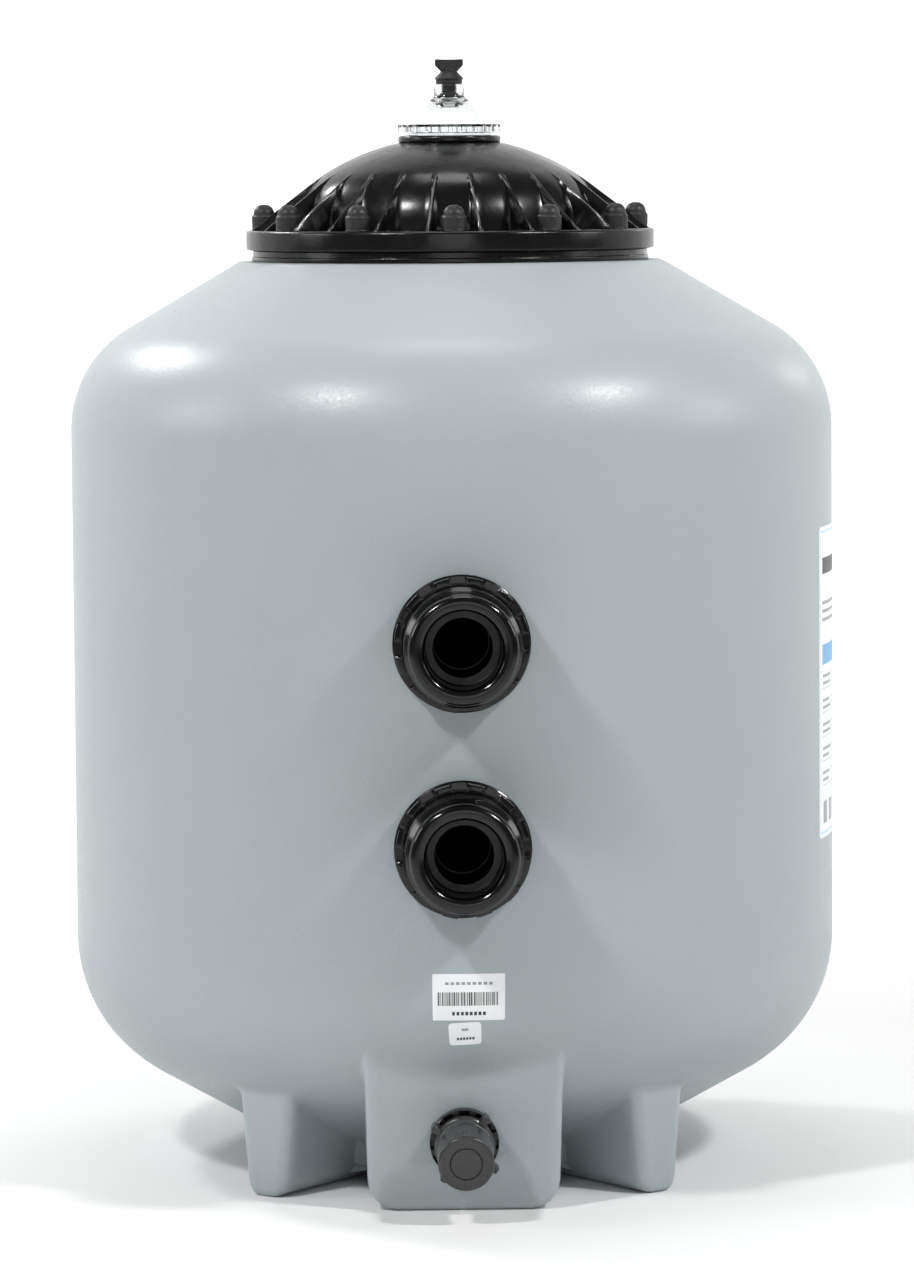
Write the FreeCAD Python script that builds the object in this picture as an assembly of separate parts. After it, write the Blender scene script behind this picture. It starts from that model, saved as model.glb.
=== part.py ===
import FreeCAD, Part
import math
import os

# Side-mount sand filter tank, in millimetres. +Z is up, the origin is on the tank axis at floor
# level, and the two pipe ports and the drain face -Y.

# Tank body
BODY_R = 381.0            # 30-inch class tank
WALL = 10.0
BASE_Z = 19.0             # underside of the flat bottom
LEDGE_Z = 899.0           # top face that carries the lid
LEDGE_THICK = 22.0
LOW_CORNER_Z = 138.4      # where the bottom cone's line meets the straight side
LOW_SLOPE = 30.0          # degrees above the horizontal
LOW_KNUCKLE_R = 150.0
TOP_CORNER_Z = 799.0      # where the shoulder's line meets the straight side
TOP_SLOPE = 30.5
TOP_KNUCKLE_R = 117.0
MOUTH_R = 150.0

# Feet, moulded in one with the body
FOOT_TOP_Z = 168.0
BOSS_WIDTH, BOSS_REACH, BOSS_INNER = 186.0, 345.0, 170.0
BOSS_CORNER_R, BOSS_EDGE_R = 32.0, 12.0
BOSS_LEAN = 5.0           # degrees, the face leans inwards going down
LEG_WIDTH, LEG_REACH, LEG_INNER, LEG_TOP_Z = 60.0, 322.0, 120.0, 128.0
LEG_CORNER_R, LEG_EDGE_R = 20.0, 16.0
LEG_AZIMUTHS = (36.5, -36.5, 143.5, -143.5)   # measured from the front

# Lid joint
NECK_RING_R, LID_SEAT_Z, LID_GAP = 198.5, 910.0, 0.3
LID_R, LID_FLANGE_TOP = 204.0, 930.0
LID_SPHERE_R, LID_SPHERE_Z, LID_WALL = 235.0, 786.7, 8.0
LID_WALL_R, LID_FOOT_R = 148.5, 154.0
LID_PORT_R, LID_CROWN_Z, LID_PAD_R = 30.0, 1016.0, 51.3
BOLTS, BOLT_CIRCLE_R, STUD_R, STUD_TOP, STUD_FOOT = 12, 186.0, 5.0, 946.0, 884.0
STUD_HOLE_R = 5.6
RIBS, RIB_THICK, RIB_OUTER_R = 24, 3.5, 200.0
SEAL_R, SEAL_SECTION_R = 168.0, 3.4

# Pipe ports
PORT_HEIGHTS = {"upper": 547.0, "lower": 353.0}
PORT_THREAD_R, PORT_NOSE_R, PORT_NOSE_LENGTH = 55.3, 50.8, 88.0
PORT_MOUTH_R, PORT_BORE_R, PORT_MOUTH_DEPTH = 35.5, 27.5, 40.0
PORT_FLANGE_R, PORT_FLANGE_BACK = 72.0, 362.0
LOCK_RING_R, LOCK_RING_NOTCHES, LOCK_RING_THICK = 63.6, 12, 24.0
PIPE_R, PIPE_BORE_R, FITTING_R = 30.15, 26.2, 36.0

# Drain in the front boss
DRAIN_Z, DRAIN_LOCK_R, DRAIN_SPIGOT_R, DRAIN_BORE_R = 68.7, 32.9, 19.0, 15.0
DRAIN_CAP_R, DRAIN_CAP_END, DRAIN_SPIGOT_END = 26.6, 86.0, 62.0
DRAIN_LUGS, DRAIN_LUG_R, DRAIN_LUG_TURN = 4, 35.0, 55.0

# Sight dome and air bleed on the lid
SIGHT_SEAT_TOP, SIGHT_R, SIGHT_BORE, SIGHT_CENTRE_Z = 1023.0, 38.0, 33.0, 1026.0
SIGHT_NECK_R, SIGHT_NECK_BORE, SIGHT_NECK_TOP, SIGHT_NECK_FOOT = 14.75, 10.0, 1074.0, 1050.0
SIGHT_LOCK_R, SIGHT_LOCK_RIBS, SIGHT_LOCK_Z, SIGHT_LOCK_TOP = 51.5, 24, 1026.0, 1034.0
STEM_R, STEM_FOOT = 7.85, 1058.0
KNOB_TOP = 1099.0

UP = FreeCAD.Vector(0, 0, 1)
OUTWARD = FreeCAD.Vector(0, -1, 0)
LEAN = math.radians(BOSS_LEAN)
DRAIN_AXIS = FreeCAD.Vector(0, -math.cos(LEAN), -math.sin(LEAN))
DRAIN_POINT = FreeCAD.Vector(0, -BOSS_REACH, DRAIN_Z)


def upright(r, z):
    return FreeCAD.Vector(r, 0, z)


def flat(x, y):
    return FreeCAD.Vector(x, y, 0)


def sideways(y, z):
    return FreeCAD.Vector(0, y, z)


def rounded(corners, place):
    """Closed wire through corners (u, v) or (u, v, radius), each rounded by its tangent arc."""
    points = [place(c[0], c[1]) for c in corners]
    radii = [c[2] if len(c) == 3 else 0.0 for c in corners]
    spans = []
    for i, point in enumerate(points):
        if not radii[i]:
            spans.append((point, None, point))
            continue
        back = (points[i - 1] - point).normalize()
        ahead = (points[(i + 1) % len(points)] - point).normalize()
        half = back.getAngle(ahead) / 2
        trim = radii[i] / math.tan(half)
        middle = (back + ahead).normalize() * (radii[i] / math.sin(half) - radii[i])
        spans.append((point + back * trim, point + middle, point + ahead * trim))
    edges = []
    for i, (start, middle, end) in enumerate(spans):
        previous = spans[i - 1][2]
        if previous.distanceToPoint(start) > 1e-6:
            edges.append(Part.LineSegment(previous, start).toShape())
        if middle is not None:
            edges.append(Part.Arc(start, middle, end).toShape())
    return Part.Wire(edges)


def turned(corners):
    """Solid of revolution about Z from corners (radius, height[, rounding])."""
    return Part.Face(rounded(corners, upright)).revolve(FreeCAD.Vector(), UP, 360)


def ring(inner, outer, low, high, rounding=0.0):
    return turned([(inner, low, rounding), (outer, low, rounding),
                   (outer, high, rounding), (inner, high, rounding)])


def rod(radius, low, high):
    return Part.makeCylinder(radius, high - low, FreeCAD.Vector(0, 0, low))


def slab(width, depth, low, high, y=0.0):
    """Box centred on x = 0 and the given y."""
    corner = FreeCAD.Vector(-width / 2, y - depth / 2, low)
    return Part.makeBox(width, depth, high - low, corner)


def round_z(shape, degrees):
    copy = shape.copy()
    copy.rotate(FreeCAD.Vector(), UP, degrees)
    return copy


def around(shape, count, start=0.0):
    return [round_z(shape, start + 360.0 * i / count) for i in range(count)]


def aimed(shape, point, direction):
    """A shape drawn along +Z, moved so that its Z axis runs from point along direction."""
    copy = shape.copy()
    copy.Placement = FreeCAD.Placement(point, FreeCAD.Rotation(UP, direction))
    return copy


def fused(shapes):
    return shapes[0].fuse(list(shapes[1:])).removeSplitter()


def group(shapes):
    return Part.makeCompound(shapes)


def body_outline(inset):
    """Corners of the vessel's solid of revolution, moved inwards by inset."""
    low, top = math.radians(LOW_SLOPE), math.radians(TOP_SLOPE)
    radius = BODY_R - inset
    low_z = LOW_CORNER_Z + inset * (1 / math.cos(low) - math.tan(low))
    top_z = TOP_CORNER_Z - inset * (1 / math.cos(top) - math.tan(top))
    floor_z = BASE_Z + inset
    ceiling_z = LEDGE_Z - (LEDGE_THICK if inset > 0 else 0.0)
    return [(0, floor_z),
            (radius - (low_z - floor_z) / math.tan(low), floor_z, 60.0),
            (radius, low_z, LOW_KNUCKLE_R - inset),
            (radius, top_z, TOP_KNUCKLE_R - inset),
            (radius - (ceiling_z - top_z) / math.tan(top), ceiling_z, 6.0),
            (0, ceiling_z)]


def foot(width, reach, inner, top, corner, edge, lean, inset):
    """Rounded box that stands out along -Y under the vessel; inset gives its hollow."""
    half = width / 2 - inset
    sill = inset
    shift = math.tan(math.radians(lean))
    toe = reach + (sill - DRAIN_Z) * shift - inset
    brow = reach + (top - DRAIN_Z) * shift - inset
    front = rounded([(-half, sill, corner - inset), (half, sill, corner - inset),
                     (half, top), (-half, top)], lambda x, z: FreeCAD.Vector(x, 0, z))
    side = rounded([(-inner - inset, sill), (-toe, sill, 10.0), (-brow, top), (-inner - inset, top)],
                   sideways)
    plan = rounded([(-half, -inner - inset), (half, -inner - inset),
                    (half, -brow, edge), (-half, -brow, edge)], flat)
    block = Part.Face(front).extrude(OUTWARD * (brow + 10))
    profile = Part.Face(side).extrude(FreeCAD.Vector(width, 0, 0))
    profile.translate(FreeCAD.Vector(-width / 2, 0, 0))
    return block.common(profile).common(Part.Face(plan).extrude(UP * (top + 10)))


def feet(inset):
    boss = foot(BOSS_WIDTH, BOSS_REACH, BOSS_INNER, FOOT_TOP_Z,
                BOSS_CORNER_R, BOSS_EDGE_R, BOSS_LEAN, inset)
    leg = foot(LEG_WIDTH, LEG_REACH, LEG_INNER, LEG_TOP_Z,
               LEG_CORNER_R, LEG_EDGE_R, 0.0, inset)
    return [boss] + [round_z(leg, azimuth) for azimuth in LEG_AZIMUTHS]


def port_point(height):
    return FreeCAD.Vector(0, -BODY_R, height)


def tank_shell():
    outside = fused([turned(body_outline(0.0))] + feet(0.0))
    hollow = fused([turned(body_outline(WALL))] + feet(WALL))
    openings = [rod(MOUTH_R, LEDGE_Z - LEDGE_THICK - 5, LEDGE_Z + 5)]
    openings += around(aimed(rod(STUD_R, STUD_FOOT, LEDGE_Z + 5),
                             FreeCAD.Vector(0, -BOLT_CIRCLE_R, 0), UP), BOLTS)
    for height in PORT_HEIGHTS.values():
        openings.append(aimed(rod(PORT_THREAD_R, -40, 40), port_point(height), OUTWARD))
    openings.append(aimed(rod(DRAIN_SPIGOT_R, -30, 20), DRAIN_POINT, DRAIN_AXIS))
    return outside.cut([hollow] + openings)


def neck_ring():
    body = ring(MOUTH_R, NECK_RING_R, LEDGE_Z, LID_SEAT_Z, 1.0)
    groove_floor = LID_SEAT_Z - 2 * SEAL_SECTION_R - 0.4
    groove = ring(SEAL_R - SEAL_SECTION_R - 0.3, SEAL_R + SEAL_SECTION_R + 0.3,
                  groove_floor, LID_SEAT_Z + 1)
    hole = aimed(rod(STUD_R, LEDGE_Z - 1, LID_SEAT_Z + 1), FreeCAD.Vector(0, -BOLT_CIRCLE_R, 0), UP)
    return body.cut([groove] + around(hole, BOLTS))


def lid_o_ring():
    height = LID_SEAT_Z - SEAL_SECTION_R - 0.4
    return Part.makeTorus(SEAL_R, SEAL_SECTION_R, FreeCAD.Vector(0, 0, height))


def lid_studs():
    stud = turned([(0, STUD_FOOT), (STUD_R, STUD_FOOT), (STUD_R, STUD_TOP, 1.0), (0, STUD_TOP)])
    stud.translate(FreeCAD.Vector(0, -BOLT_CIRCLE_R, 0))
    return group(around(stud, BOLTS))


def lid_cover():
    low = LID_SEAT_Z + LID_GAP
    sphere = Part.makeSphere(LID_SPHERE_R, FreeCAD.Vector(0, 0, LID_SPHERE_Z))
    hollow = Part.makeSphere(LID_SPHERE_R - LID_WALL, FreeCAD.Vector(0, 0, LID_SPHERE_Z))
    wall_top = LID_SPHERE_Z + math.sqrt(LID_SPHERE_R ** 2 - LID_WALL_R ** 2)
    skirt = turned([(0, low), (LID_R, low, 2.5), (LID_R, LID_FLANGE_TOP, 3.0),
                    (LID_FOOT_R, LID_FLANGE_TOP, 4.0), (LID_WALL_R, wall_top), (0, wall_top)])
    cap = sphere.common(rod(LID_WALL_R, wall_top - 20, LID_CROWN_Z))
    shell = skirt.fuse(cap)
    inner_r = LID_WALL_R - LID_WALL
    shell = shell.cut(hollow.common(rod(inner_r, low - 5, LID_CROWN_Z + 10)).fuse(
        rod(inner_r, low - 5, wall_top - 20)))
    rib = Part.Face(rounded([(inner_r + 3, LID_FLANGE_TOP - 2), (RIB_OUTER_R, LID_FLANGE_TOP - 2),
                             (RIB_OUTER_R, LID_FLANGE_TOP), (LID_WALL_R + 2, wall_top + 0.5),
                             (inner_r + 3, wall_top + 0.5)], upright))
    rib = rib.extrude(FreeCAD.Vector(0, RIB_THICK, 0))
    rib.translate(FreeCAD.Vector(0, -RIB_THICK / 2, 0))
    pad = rod(LID_PAD_R + 4, LID_CROWN_Z - 15, LID_CROWN_Z - 3)
    shell = fused([shell, pad] + around(rib, RIBS, 180.0 / RIBS))
    hole = aimed(rod(STUD_HOLE_R, low - 5, LID_FLANGE_TOP + 5),
                 FreeCAD.Vector(0, -BOLT_CIRCLE_R, 0), UP)
    return shell.cut([rod(LID_PORT_R, LID_CROWN_Z - 20, LID_CROWN_Z + 5)] + around(hole, BOLTS))


def at_bolts(shape):
    shape.translate(FreeCAD.Vector(0, -BOLT_CIRCLE_R, 0))
    return group(around(shape, BOLTS))


def lid_washers():
    return at_bolts(ring(STUD_HOLE_R, 9.3, LID_FLANGE_TOP, LID_FLANGE_TOP + 2))


def lid_nuts():
    low, high, flats = LID_FLANGE_TOP + 2, LID_FLANGE_TOP + 10.4, 16.0
    corner_r = flats / math.sqrt(3)
    corners = [(corner_r * math.cos(math.radians(60 * i)), corner_r * math.sin(math.radians(60 * i)))
               for i in range(6)]
    nut = Part.Face(rounded(corners, lambda x, y: FreeCAD.Vector(x, y, low))).extrude(UP * (high - low))
    return at_bolts(nut.cut(rod(STUD_R + 0.35, low - 1, high + 1)))


def lid_nut_caps():
    low, shoulder, top = LID_FLANGE_TOP + 0.3, LID_FLANGE_TOP + 15.0, LID_FLANGE_TOP + 25.5
    cap = turned([(0, low), (10.9, low), (11.3, shoulder - 1, 0.8), (10.4, shoulder),
                  (9.5, shoulder + 0.5), (9.5, top, 8.5), (0, top)])
    hollow = turned([(0, low - 1), (9.75, low - 1), (9.75, shoulder - 4),
                     (6.6, shoulder - 2), (6.6, top - 4, 3.0), (0, top - 4)])
    return at_bolts(cap.cut(hollow))


def sight_dome_seat_ring():
    body = ring(LID_PORT_R + 3, LID_PAD_R, LID_CROWN_Z, SIGHT_SEAT_TOP, 2.0)
    groove = ring(35.9, 39.1, SIGHT_SEAT_TOP - 2.5, SIGHT_SEAT_TOP + 1)
    return body.cut(groove)


def sight_dome_gasket():
    return ring(36.0, 39.0, SIGHT_SEAT_TOP - 2.5, SIGHT_SEAT_TOP)


def sight_dome():
    centre = FreeCAD.Vector(0, 0, SIGHT_CENTRE_Z)
    above = rod(60, SIGHT_CENTRE_Z, SIGHT_NECK_TOP)
    flange = rod(42.0, SIGHT_SEAT_TOP, SIGHT_CENTRE_Z)
    outside = Part.makeSphere(SIGHT_R, centre).common(above)
    inside = Part.makeSphere(SIGHT_BORE, centre).common(above)
    neck = rod(SIGHT_NECK_R, SIGHT_NECK_FOOT, SIGHT_NECK_TOP)
    shell = fused([flange, outside]).cut([inside, rod(SIGHT_BORE, SIGHT_SEAT_TOP - 1, SIGHT_CENTRE_Z)])
    return fused([shell, neck]).cut(rod(SIGHT_NECK_BORE, SIGHT_NECK_FOOT - 1, SIGHT_NECK_TOP + 1))


def sight_dome_lock_ring():
    body = ring(SIGHT_R + 0.4, 49.5, SIGHT_LOCK_Z, SIGHT_LOCK_TOP, 0.8)
    skirt = ring(42.6, 47.0, SIGHT_SEAT_TOP, SIGHT_LOCK_Z + 2)
    rib = slab(3.2, 4.0, SIGHT_LOCK_Z, SIGHT_LOCK_TOP, y=2.0 - SIGHT_LOCK_R)
    return fused([body, skirt] + around(rib, SIGHT_LOCK_RIBS))


def bleed_knob():
    foot_z = SIGHT_NECK_TOP + 0.3
    collar = turned([(0, foot_z), (13.25, foot_z, 0.6), (13.25, 1079.0), (14.75, 1079.0, 0.5),
                     (9.0, 1085.5), (7.5, 1087.5), (0, 1087.5)])
    wing = rounded([(-7.5, 1084.0), (7.5, 1084.0, 1.5), (14.0, 1093.0, 1.5),
                    (14.0, KNOB_TOP, 1.5), (-14.0, KNOB_TOP, 1.5), (-14.0, 1093.0, 1.5)],
                   lambda x, z: FreeCAD.Vector(x, -4.0, z))
    nub = aimed(rod(4.0, 0, 7.5), FreeCAD.Vector(0, -1, 1087.0), OUTWARD)
    return fused([collar, Part.Face(wing).extrude(FreeCAD.Vector(0, 8.0, 0)), nub])


def bleed_stem():
    """Ribbed stem; its ribs stand for the thread that turns in the sight dome's neck."""
    core = rod(6.3, STEM_FOOT, SIGHT_NECK_TOP + 0.3)
    ribs = [ring(6.0, STEM_R, z, z + 1.2, 0.3) for z in (1065.0, 1068.0, 1071.0)]
    tip = turned([(0, STEM_FOOT - 3), (3.5, STEM_FOOT - 3), (6.3, STEM_FOOT), (0, STEM_FOOT)])
    return fused([core, tip] + ribs)


def bleed_o_ring():
    return Part.makeTorus(8.1, 1.7, FreeCAD.Vector(0, 0, 1062.0))


def port_bulkhead(height):
    """Threaded body clamped through the tank wall, with its flange inside the tank."""
    back = PORT_FLANGE_BACK - BODY_R
    nose, neck = PORT_NOSE_LENGTH, PORT_NOSE_LENGTH - 22
    body = turned([(0, back - 34), (40, back - 34), (40, back - 10), (PORT_FLANGE_R, back - 10),
                   (PORT_FLANGE_R, back), (PORT_THREAD_R, back), (PORT_THREAD_R, neck, 1.5),
                   (PORT_NOSE_R, neck, 1.0), (PORT_NOSE_R, nose, 5.5), (0, nose)])
    mouth_floor = nose - PORT_MOUTH_DEPTH
    bore = turned([(0, nose + 5), (PORT_MOUTH_R + 3, nose + 5), (PORT_MOUTH_R + 3, nose - 2),
                   (PORT_MOUTH_R, nose - 6), (PORT_MOUTH_R, mouth_floor),
                   (PORT_BORE_R, mouth_floor), (PORT_BORE_R, back - 8),
                   (PIPE_R, back - 8), (PIPE_R, back - 40), (0, back - 40)])
    groove = ring(41.2, 45.8, nose - 4.0, nose + 1)
    return aimed(body.cut([bore, groove]), port_point(height), OUTWARD)


def port_nose_o_ring(height):
    return aimed(Part.makeTorus(43.5, 2.2, FreeCAD.Vector(0, 0, PORT_NOSE_LENGTH - 1.8)),
                 port_point(height), OUTWARD)


def port_lock_ring(height):
    low, high = 3.0, 3.0 + LOCK_RING_THICK
    body = turned([(PORT_THREAD_R, low), (LOCK_RING_R + 1.5, low), (LOCK_RING_R + 1.5, low + 4, 1.0),
                   (LOCK_RING_R, low + 4), (LOCK_RING_R, high, 1.0), (PORT_THREAD_R, high)])
    notch = slab(17.0, 8.0, low + 6, high + 1, y=-LOCK_RING_R + 1)
    return aimed(body.cut(around(notch, LOCK_RING_NOTCHES)), port_point(height), OUTWARD)


def port_gaskets(height):
    """Saddle gaskets that fill the gap between the round wall and the flat flanges."""
    back = PORT_FLANGE_BACK - BODY_R
    outer = aimed(ring(PORT_THREAD_R, LOCK_RING_R - 1, -12, 3.0), port_point(height), OUTWARD)
    inner = aimed(ring(PORT_THREAD_R, PORT_FLANGE_R, back, 0.0), port_point(height), OUTWARD)
    outside = rod(BODY_R, height - 100, height + 100)
    inside = rod(BODY_R - WALL, height - 100, height + 100)
    return outer.cut(outside), inner.common(inside)


def elbow(height, rise):
    """Right-angle fitting on the tank axis, from the port's pipe to a pipe along +Z or -Z."""
    centre = FreeCAD.Vector(0, 0, height)
    ways = (OUTWARD, UP * rise)
    solid = [Part.makeSphere(FITTING_R, centre)] + [aimed(rod(FITTING_R, 0, 82), centre, w) for w in ways]
    bores = [Part.makeSphere(PIPE_BORE_R, centre)]
    bores += [aimed(rod(PIPE_BORE_R, 0, 90), centre, w) for w in ways]
    bores += [aimed(rod(PIPE_R, 46, 90), centre, w) for w in ways]
    return fused(solid).cut(bores)


def tube(outer, inner, low, high):
    return rod(outer, low, high).cut(rod(inner, low - 1, high + 1))


def port_pipe(height):
    start, end = 46.0, PORT_FLANGE_BACK - 10
    return aimed(tube(PIPE_R, PIPE_BORE_R, start, end), FreeCAD.Vector(0, 0, height), OUTWARD)


def diffuser():
    """Slotted basket on top of the riser that spreads the incoming water."""
    low, high = 760.0, 850.0
    outside = turned([(0, low - 30), (FITTING_R, low - 30), (FITTING_R, low), (72, low + 8),
                      (72, high, 12.0), (0, high)])
    inside = turned([(0, low + 2), (FITTING_R, low + 4), (68, low + 12), (68, high - 4, 9.0), (0, high - 4)])
    slot = slab(7.0, 12.0, low + 20, high - 20, y=-70)
    bore = rod(PIPE_BORE_R, low - 40, low + 10)
    return outside.cut([inside, bore, rod(PIPE_R, low - 40, low - 4)] + around(slot, 24))


def lateral_hub():
    low, high = 60.0, 120.0
    outside = turned([(0, BASE_Z + WALL), (24, BASE_Z + WALL, 2.0), (24, low - 8), (50, low, 4.0),
                      (50, high - 20, 4.0), (FITTING_R, high - 12), (FITTING_R, high + 30), (0, high + 30)])
    hollow = turned([(0, low + 6), (43, low + 6, 4.0), (43, high - 26), (PIPE_BORE_R, high - 14),
                     (PIPE_BORE_R, high - 4), (PIPE_R, high - 4), (PIPE_R, high + 40), (0, high + 40)])
    sockets = around(aimed(rod(11.0, 40, 60), FreeCAD.Vector(0, 0, 84), OUTWARD), 8, 22.5)
    return outside.cut([hollow] + sockets)


def laterals():
    """Eight slotted tubes with closed ends; the collected water goes through them to the hub."""
    body = turned([(0, 43.5), (11.0, 43.5), (11.0, 222, 6.0), (0, 222)])
    slots = [slab(24.0, 24.0, s, s + 1.2, y=5.0).cut(slab(24.0, 24.0, s - 1, s + 3, y=20.0))
             for s in range(70, 211, 14)]
    finger = body.cut([rod(8.5, 30, 214)] + slots)
    return group(around(aimed(finger, FreeCAD.Vector(0, 0, 84), OUTWARD), 8, 22.5))


def on_drain(shape):
    return aimed(shape, DRAIN_POINT, DRAIN_AXIS)


def drain_spigot():
    body = turned([(0, -24), (30, -24), (30, -14), (DRAIN_SPIGOT_R, -14),
                   (DRAIN_SPIGOT_R, DRAIN_SPIGOT_END, 1.5), (0, DRAIN_SPIGOT_END)])
    return on_drain(body.cut(rod(DRAIN_BORE_R, -30, DRAIN_SPIGOT_END + 5)))


def drain_lock_ring():
    low, high = 2.0, 14.0
    body = turned([(DRAIN_SPIGOT_R, low), (DRAIN_LOCK_R, low), (DRAIN_LOCK_R, high, 1.5),
                   (26.0, high, 0.5), (26.0, high - 3), (DRAIN_SPIGOT_R, high - 3)])
    notch = slab(8.0, 6.0, low + 3, high - 2, y=-DRAIN_LOCK_R + 1)
    return on_drain(body.cut(around(notch, 12, 15.0)))


def drain_cap():
    """Screw cap with a lugged skirt and a round recess line in its face."""
    low, skirt, end = 16.0, 40.0, DRAIN_CAP_END
    outside = turned([(0, low), (29.0, low, 1.0), (29.0, skirt, 1.5), (27.4, skirt + 1),
                      (DRAIN_CAP_R, end, 3.0), (0, end)])
    hollow = rod(DRAIN_SPIGOT_R + 0.4, low - 1, DRAIN_SPIGOT_END + 4)
    line = ring(14.7, 15.5, end - 1.2, end + 1)
    lug = slab(6.0, 8.0, low + 2, skirt - 4, y=-DRAIN_LUG_R + 4)
    lugs = around(lug, DRAIN_LUGS, DRAIN_LUG_TURN)
    return on_drain(fused([outside] + lugs).cut([hollow, line]))


def drain_cap_seal():
    return on_drain(ring(12.0, DRAIN_SPIGOT_R, DRAIN_SPIGOT_END + 0.3, DRAIN_SPIGOT_END + 3.7))


def drain_gasket():
    return on_drain(ring(DRAIN_SPIGOT_R, 31.0, 0.0, 2.0))


def drain_inner_gasket():
    return on_drain(ring(DRAIN_SPIGOT_R, 29.0, -14.0, -WALL))


def drain_screen():
    """Slotted tube behind the drain that holds the sand back."""
    body = turned([(0, -110), (14.5, -110, 4.0), (14.5, -20), (0, -20)])
    slot = slab(2.0, 8.0, -100, -40, y=-12)
    return on_drain(body.cut([rod(12.0, -106, -10)] + around(slot, 12)).fuse(
        ring(12.0, DRAIN_BORE_R, -24, -20)))


def label(width, low, high, azimuth, offset=0.0, tilt=0.0, corner=1.0):
    """Thin label wrapped on the vessel; offset is its centre's distance to +X of the azimuth."""
    skin = turned(body_outline(-0.4)).cut(turned(body_outline(0.0)))
    middle, half_h, half_w = (low + high) / 2, (high - low) / 2, width / 2
    sheet = rounded([(-half_w, -half_h, corner), (half_w, -half_h, corner),
                     (half_w, half_h, corner), (-half_w, half_h, corner)],
                    lambda x, z: FreeCAD.Vector(x, 0, z))
    cutter = Part.Face(sheet).extrude(OUTWARD * (BODY_R + 20))
    cutter.rotate(FreeCAD.Vector(), FreeCAD.Vector(0, 1, 0), -tilt)
    cutter.translate(FreeCAD.Vector(offset, 0, middle))
    return skin.common(round_z(cutter, azimuth))


def pieces():
    """Every node's name and shape, in the order in which the filter is put together."""
    yield "tank_shell", tank_shell()
    yield "neck_ring", neck_ring()
    yield "lid_studs", lid_studs()
    yield "lid_o_ring", lid_o_ring()
    yield "lid_cover", lid_cover()
    yield "lid_washers", lid_washers()
    yield "lid_nuts", lid_nuts()
    yield "lid_nut_caps", lid_nut_caps()
    yield "sight_dome_seat_ring", sight_dome_seat_ring()
    yield "sight_dome_gasket", sight_dome_gasket()
    yield "sight_dome", sight_dome()
    yield "sight_dome_lock_ring", sight_dome_lock_ring()
    yield "bleed_knob", bleed_knob()
    yield "bleed_stem", bleed_stem()
    yield "bleed_o_ring", bleed_o_ring()
    for side, height in PORT_HEIGHTS.items():
        outer, inner = port_gaskets(height)
        yield side + "_bulkhead", port_bulkhead(height)
        yield side + "_lock_ring", port_lock_ring(height)
        yield side + "_outer_gasket", outer
        yield side + "_inner_gasket", inner
        yield side + "_nose_o_ring", port_nose_o_ring(height)
    upper, lower = PORT_HEIGHTS["upper"], PORT_HEIGHTS["lower"]
    yield "inlet_pipe", port_pipe(upper)
    yield "inlet_elbow", elbow(upper, 1)
    yield "inlet_riser", tube(PIPE_R, PIPE_BORE_R, upper + 46, 756.0)
    yield "diffuser", diffuser()
    yield "outlet_pipe", port_pipe(lower)
    yield "outlet_elbow", elbow(lower, -1)
    yield "outlet_downpipe", tube(PIPE_R, PIPE_BORE_R, 116.0, lower - 46)
    yield "lateral_hub", lateral_hub()
    yield "laterals", laterals()
    yield "drain_spigot", drain_spigot()
    yield "drain_gasket", drain_gasket()
    yield "drain_inner_gasket", drain_inner_gasket()
    yield "drain_lock_ring", drain_lock_ring()
    yield "drain_cap", drain_cap()
    yield "drain_cap_seal", drain_cap_seal()
    yield "drain_screen", drain_screen()
    yield "serial_label", label(68.8, 189.0, 234.0, 0.0, offset=4.5)
    yield "batch_label", label(31.5, 164.5, 186.8, 0.0, offset=1.0, tilt=3.0, corner=3.0)
    yield "info_label", label(207.0, 327.0, 636.0, 85.8, corner=6.0)


os.makedirs("parts", exist_ok=True)
for name, shape in pieces():
    size = shape.BoundBox
    print(f"{name:24s} solids {len(shape.Solids):2d} valid {shape.isValid()}"
          f" volume {shape.Volume / 1000:10.2f} cm3 z {size.ZMin:7.1f} to {size.ZMax:7.1f}")
    shape.exportStep(f"parts/{name}.step")
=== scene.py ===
import math
import bmesh
import bpy
import numpy as np
from mathutils import Matrix, Vector


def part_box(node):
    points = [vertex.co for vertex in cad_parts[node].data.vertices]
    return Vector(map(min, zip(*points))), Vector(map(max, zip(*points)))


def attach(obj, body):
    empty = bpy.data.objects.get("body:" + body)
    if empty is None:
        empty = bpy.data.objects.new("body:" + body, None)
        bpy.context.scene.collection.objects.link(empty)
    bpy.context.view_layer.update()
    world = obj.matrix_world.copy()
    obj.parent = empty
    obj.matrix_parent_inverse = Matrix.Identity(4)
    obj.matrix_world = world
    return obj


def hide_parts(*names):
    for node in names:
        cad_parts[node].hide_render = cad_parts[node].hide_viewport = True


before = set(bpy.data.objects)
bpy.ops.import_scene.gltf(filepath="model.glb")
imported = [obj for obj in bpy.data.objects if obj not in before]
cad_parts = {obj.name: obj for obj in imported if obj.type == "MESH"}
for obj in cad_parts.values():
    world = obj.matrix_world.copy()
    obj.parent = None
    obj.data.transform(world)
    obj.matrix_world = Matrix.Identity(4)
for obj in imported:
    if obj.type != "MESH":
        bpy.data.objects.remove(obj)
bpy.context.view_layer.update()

# ---------------------------------------------------------------------------------------------
# Sizes, in metres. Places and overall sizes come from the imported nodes; the rest repeats the
# design's driving dimensions or is detail that only the looks need.
# ---------------------------------------------------------------------------------------------
TANK_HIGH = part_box("tank_shell")[1]
BODY_R = TANK_HIGH.x
LEDGE_Z = TANK_HIGH.z
WALL, BASE_Z, LEDGE_THICK = 0.010, 0.019, 0.022
LOW_CORNER_Z, LOW_SLOPE, LOW_KNUCKLE_R = 0.1384, 30.0, 0.150
TOP_CORNER_Z, TOP_SLOPE, TOP_KNUCKLE_R = 0.799, 30.5, 0.117
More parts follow.
